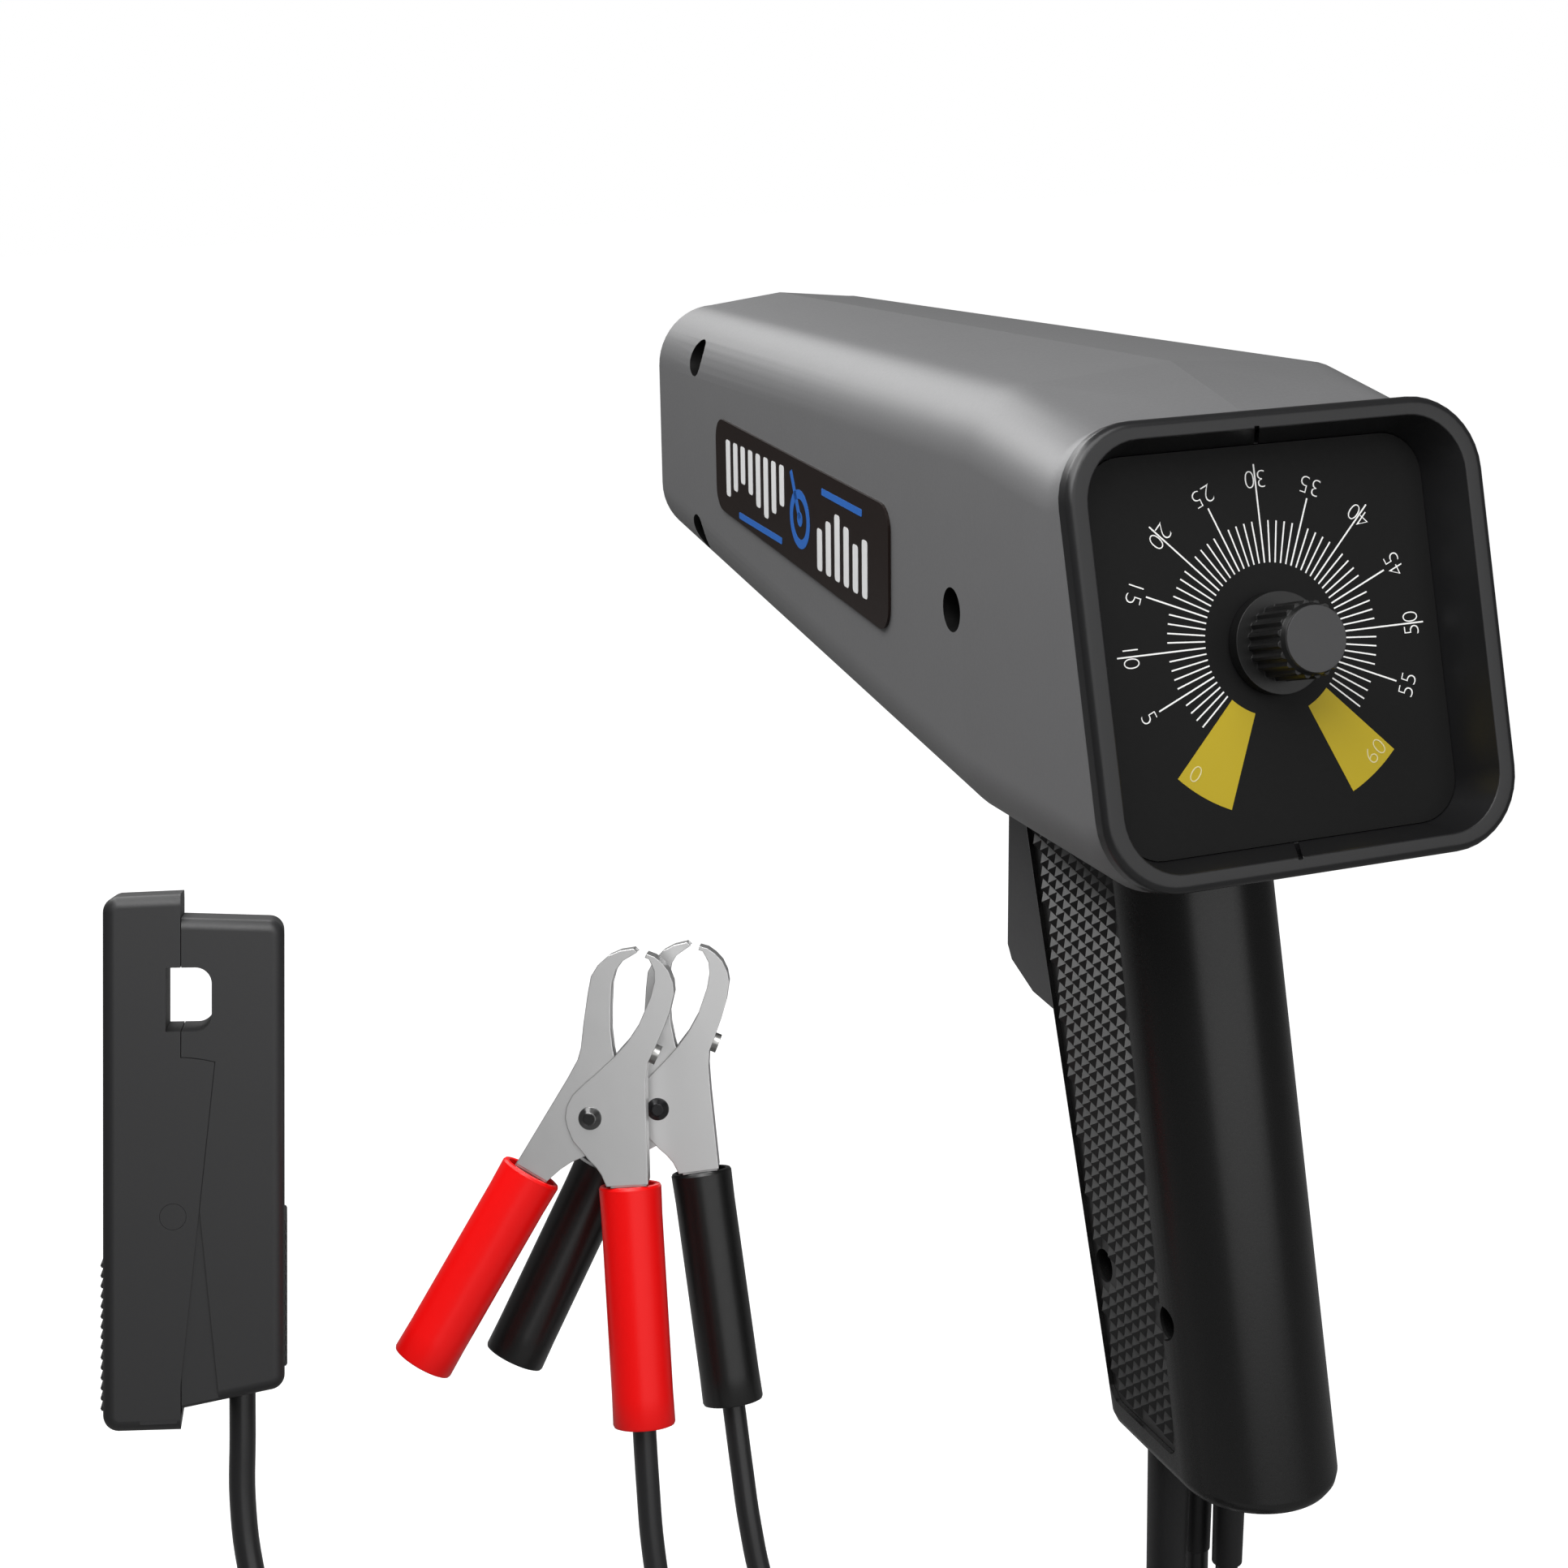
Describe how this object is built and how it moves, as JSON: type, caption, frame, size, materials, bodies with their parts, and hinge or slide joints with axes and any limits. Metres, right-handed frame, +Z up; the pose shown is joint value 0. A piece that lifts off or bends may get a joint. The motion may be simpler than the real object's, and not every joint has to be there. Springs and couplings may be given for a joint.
{
  "type": "timing light",
  "caption": "Pistol-grip automotive timing light with a rear advance dial, barrel lens, trigger, spark-lead pickup and red and black battery clips on long leads.",
  "frame": {"origin": "middle of the pistol grip, at half its width, on the line down the middle of the handle", "axes": "+Y along the barrel towards the lens, +Z up, +X to the right of someone aiming the light"},
  "size_m": [0.2573, 0.3176, 0.2985],
  "materials": {
    "barrel_grey": "fine textured moulding",
    "rim_grey": "satin moulding",
    "dial_black": "printed dial, white scale and yellow end bands",
    "label_film": null,
    "knob_black": "satin",
    "knob_grey": "satin",
    "steel": "satin",
    "spring_steel": "bright wire",
    "clear_lens": "clear, polished",
    "reflector_chrome": "vacuum metallised",
    "xenon_glass": "clear tube",
    "board_green": "solder mask",
    "can_blue": "sleeved can",
    "winding": "taped winding",
    "grip_black": "satin",
    "knurl_black": "pyramid knurl",
    "trigger_grey": "satin",
    "switch_black": "satin",
    "screw_steel": "blackened",
    "gland_rubber": "matte",
    "lead_black": "satin cable jacket",
    "tie_black": "nylon",
    "pickup_black": "satin",
    "ferrite": "sintered grey",
    "clip_steel": "bright plated sheet",
    "rivet_chrome": "polished",
    "rivet_dark": "dark",
    "sleeve_red": "vinyl dip",
    "sleeve_black": "vinyl dip"
  },
  "bodies": {
    "gun": {"housing_left": "barrel_grey", "housing_right": "barrel_grey", "bezel": "rim_grey", "dial_plate": "dial_black", "label_left": "label_film", "label_right": "label_film", "pot_body": "steel", "pot_nut": "steel", "lens_ring": "rim_grey", "lens": "clear_lens", "reflector": "reflector_chrome", "flash_tube": "xenon_glass", "pcb": "board_green", "capacitor": "can_blue", "transformer": "winding", "handle_left": "grip_black", "handle_right": "grip_black", "grip_panel_left": "knurl_black", "grip_panel_right": "knurl_black", "switch_housing": "trigger_grey", "trigger_pin": "steel", "trigger_spring": "spring_steel", "microswitch": "switch_black", "housing_screws": "screw_steel", "handle_screws": "screw_steel", "cable_gland": "gland_rubber", "pickup_lead_drop": "lead_black", "pickup_lead_coil": "lead_black", "pickup_lead_rise": "lead_black", "red_lead_drop": "lead_black", "red_lead_coil": "lead_black", "red_lead_rise": "lead_black", "black_lead_drop": "lead_black", "black_lead_coil": "lead_black", "black_lead_rise": "lead_black", "cord_ties": "tie_black", "pickup_body": "pickup_black", "pickup_pin": "pickup_black", "pickup_spring": "spring_steel", "core_fixed": "ferrite", "red_jaw_fixed": "clip_steel", "red_rivet": "rivet_chrome", "red_spring": "spring_steel", "red_sleeve_fixed": "sleeve_red", "black_jaw_fixed": "clip_steel", "black_rivet": "rivet_dark", "black_spring": "spring_steel", "black_sleeve_fixed": "sleeve_black", "terminal_screws": "steel"},
    "dial_knob": {"knob": "knob_black", "knob_cap": "knob_grey", "pot_shaft": "steel"},
    "trigger_lever": {"trigger": "trigger_grey"},
    "pickup_jaw": {"pickup_lever": "pickup_black", "core_moving": "ferrite"},
    "red_clip_jaw": {"red_jaw_moving": "clip_steel", "red_sleeve_moving": "sleeve_red"},
    "black_clip_jaw": {"black_jaw_moving": "clip_steel", "black_sleeve_moving": "sleeve_black"}
  },
  "joints": [
    {"name": "knob_turn", "type": "hinge", "parent": "gun", "child": "dial_knob", "pos_m": [0, -0.028, 0.115], "axis": [0, -0.9588, 0.284], "range_deg": [-135, 135]},
    {"name": "trigger_squeeze", "type": "hinge", "parent": "gun", "child": "trigger_lever", "pos_m": [0, 0.0595, 0.0705], "axis": [-1, 0, 0], "range_deg": [0, 5], "stiffness_Nm_per_rad": 0.6, "springref_deg": -4.58, "deforming": ["trigger_spring"]},
    {"name": "pickup_open", "type": "hinge", "parent": "gun", "child": "pickup_jaw", "pos_m": [-0.1892, 0.0583, 0.0045], "axis": [-0.186, -0.9392, 0.2888], "range_deg": [0, 11], "stiffness_Nm_per_rad": 1, "springref_deg": -11.46, "deforming": ["pickup_spring"]},
    {"name": "red_clip_open", "type": "hinge", "parent": "gun", "child": "red_clip_jaw", "pos_m": [-0.1136, 0.0334, 0.0201], "axis": [-0.3525, -0.8879, 0.2957], "range_deg": [0, 20], "stiffness_Nm_per_rad": 0.8, "springref_deg": -17.19, "deforming": ["red_spring"]},
    {"name": "black_clip_open", "type": "hinge", "parent": "gun", "child": "black_clip_jaw", "pos_m": [-0.0962, 0.0448, 0.0143], "axis": [-0.3525, -0.8879, 0.2957], "range_deg": [0, 20], "stiffness_Nm_per_rad": 0.8, "springref_deg": -17.19, "deforming": ["black_spring"]}
  ]
}
